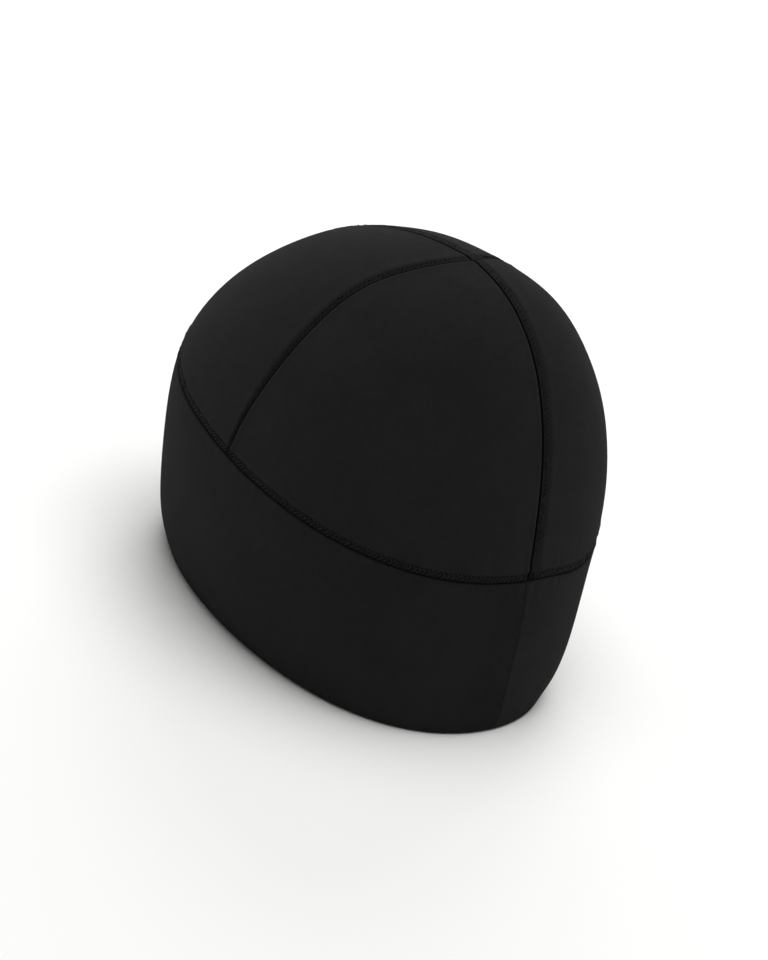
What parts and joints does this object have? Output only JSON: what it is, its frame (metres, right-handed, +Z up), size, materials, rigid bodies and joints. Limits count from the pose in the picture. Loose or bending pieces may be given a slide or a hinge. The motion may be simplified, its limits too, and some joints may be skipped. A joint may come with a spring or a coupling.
{
  "type": "thermal beanie",
  "caption": "Close-fitting thermal beanie: a dome of sewn jersey panels over a deep band that is folded double at the hem, hollow and open below.",
  "frame": {"origin": "on the resting plane under the hem, in the middle of the cap's length and width", "axes": "+Z up from the hem to the crown, -Y towards the forehead, +X towards the wearer's left ear"},
  "size_m": [0.162, 0.2007, 0.168],
  "materials": {
    "crown_jersey": "matt black brushed polyester and elastane jersey",
    "band_jersey": "matt black brushed polyester and elastane jersey, double"
  },
  "bodies": {
    "root": {"crown_front_left": "crown_jersey", "crown_front_right": "crown_jersey", "crown_back_left": "crown_jersey", "crown_back_right": "crown_jersey", "band": "band_jersey"}
  },
  "joints": []
}
